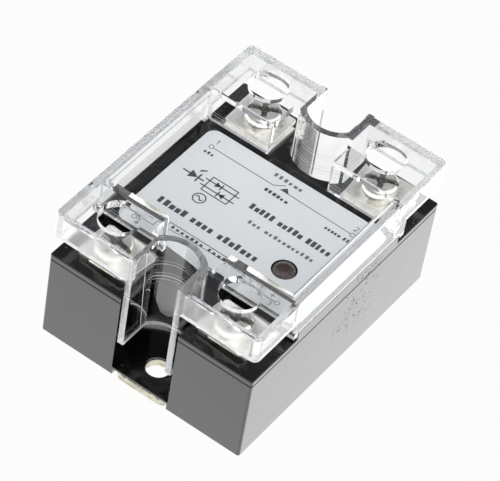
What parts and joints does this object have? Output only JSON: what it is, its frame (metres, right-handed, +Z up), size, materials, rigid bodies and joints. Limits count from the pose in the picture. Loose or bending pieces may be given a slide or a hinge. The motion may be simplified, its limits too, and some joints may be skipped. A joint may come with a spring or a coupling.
{
  "type": "solid state relay",
  "caption": "Panel-mount solid state relay: black housing on a metal heat-sink plate, screw-clamp terminals, indicator lamp, and a clear lift-off cover.",
  "frame": {"origin": "centre of the footprint at the underside of the metal base plate", "axes": "+Z up, away from the heat sink; +Y along the length from the control end (terminals 3 and 4) to the output end (terminals 1 and 2); +X across the width towards terminals 2 and 3"},
  "size_m": [0.046, 0.06, 0.0321],
  "materials": {
    "plated_plate": "brushed aluminium plate with sheared edges",
    "black_housing": "glossy black moulded plastic, lightly scuffed",
    "label_film": "light grey printed polyester film",
    "lamp_epoxy": "dark red epoxy, unlit",
    "clear_polycarbonate": "clear glossy plastic",
    "plated_terminal": "nickel plate, satin",
    "plated_steel": "nickel plate, bright",
    "copper": "bare copper",
    "silicon_chip": "metallised silicon",
    "white_ceramic": "matt alumina",
    "solder": "dull solder",
    "tinned_wire": "tinned wire",
    "board_laminate": "green coated glass-fibre board",
    "black_component": "moulded black epoxy",
    "resistor_body": "lacquered film resistor",
    "film_capacitor": "yellow boxed capacitor",
    "disc_coating": "blue coated disc",
    "black_resin": "cast potting resin"
  },
  "bodies": {
    "relay_body": {"base_plate": "plated_plate", "case": "black_housing", "lid": "black_housing", "rating_label": "label_film", "led_lens": "lamp_epoxy", "led_leads": "tinned_wire", "ceramic_substrate": "white_ceramic", "substrate_solder": "solder", "gate_leads": "tinned_wire", "circuit_board": "board_laminate", "optocoupler": "black_component", "optocoupler_legs": "tinned_wire", "resistors": "resistor_body", "snubber_capacitor": "film_capacitor", "surge_suppressor": "disc_coating", "regulator_transistor": "black_component", "protection_diode": "black_component", "potting_compound": "black_resin", "copper_pad_1": "copper", "thyristor_chip_1": "silicon_chip", "cathode_clip_1": "copper", "copper_pad_2": "copper", "thyristor_chip_2": "silicon_chip", "cathode_clip_2": "copper", "terminal_strap_1": "plated_terminal", "terminal_nut_1": "plated_steel", "terminal_strap_2": "plated_terminal", "terminal_nut_2": "plated_steel", "terminal_strap_3": "plated_terminal", "terminal_nut_3": "plated_steel", "terminal_strap_4": "plated_terminal", "terminal_nut_4": "plated_steel"},
    "cover": {"clear_cover": "clear_polycarbonate"},
    "clamp_1": {"clamp_plate_1": "plated_terminal"},
    "screw_1": {"terminal_screw_1": "plated_steel"},
    "clamp_2": {"clamp_plate_2": "plated_terminal"},
    "screw_2": {"terminal_screw_2": "plated_steel"},
    "clamp_3": {"clamp_plate_3": "plated_terminal"},
    "screw_3": {"terminal_screw_3": "plated_steel"},
    "clamp_4": {"clamp_plate_4": "plated_terminal"},
    "screw_4": {"terminal_screw_4": "plated_steel"}
  },
  "joints": [
    {"name": "cover_lift", "type": "slide", "parent": "relay_body", "child": "cover", "axis": [0, 0, 1], "range_m": [0, 0.03]},
    {"name": "clamp_1_rise", "type": "slide", "parent": "relay_body", "child": "clamp_1", "axis": [0, 0, 1], "range_m": [0, 0.0014]},
    {"name": "screw_1_turn", "type": "hinge", "parent": "clamp_1", "child": "screw_1", "pos_m": [-0.0136, 0.0231, 0.0226], "axis": [0, 0, 1], "range_deg": [0, 720.1]},
    {"name": "clamp_2_rise", "type": "slide", "parent": "relay_body", "child": "clamp_2", "axis": [0, 0, 1], "range_m": [0, 0.0014]},
    {"name": "screw_2_turn", "type": "hinge", "parent": "clamp_2", "child": "screw_2", "pos_m": [0.0136, 0.0231, 0.0226], "axis": [0, 0, 1], "range_deg": [0, 720.1]},
    {"name": "clamp_3_rise", "type": "slide", "parent": "relay_body", "child": "clamp_3", "axis": [0, 0, 1], "range_m": [0, 0.0014]},
    {"name": "screw_3_turn", "type": "hinge", "parent": "clamp_3", "child": "screw_3", "pos_m": [0.0136, -0.0231, 0.0226], "axis": [0, 0, 1], "range_deg": [0, 720.1]},
    {"name": "clamp_4_rise", "type": "slide", "parent": "relay_body", "child": "clamp_4", "axis": [0, 0, 1], "range_m": [0, 0.0014]},
    {"name": "screw_4_turn", "type": "hinge", "parent": "clamp_4", "child": "screw_4", "pos_m": [-0.0136, -0.0231, 0.0226], "axis": [0, 0, 1], "range_deg": [0, 720.1]}
  ],
  "couplings": [
    {"joint": "screw_1_turn", "follows": "clamp_1_rise", "rad_per_m": 8976},
    {"joint": "screw_2_turn", "follows": "clamp_2_rise", "rad_per_m": 8976},
    {"joint": "screw_3_turn", "follows": "clamp_3_rise", "rad_per_m": 8976},
    {"joint": "screw_4_turn", "follows": "clamp_4_rise", "rad_per_m": 8976}
  ]
}
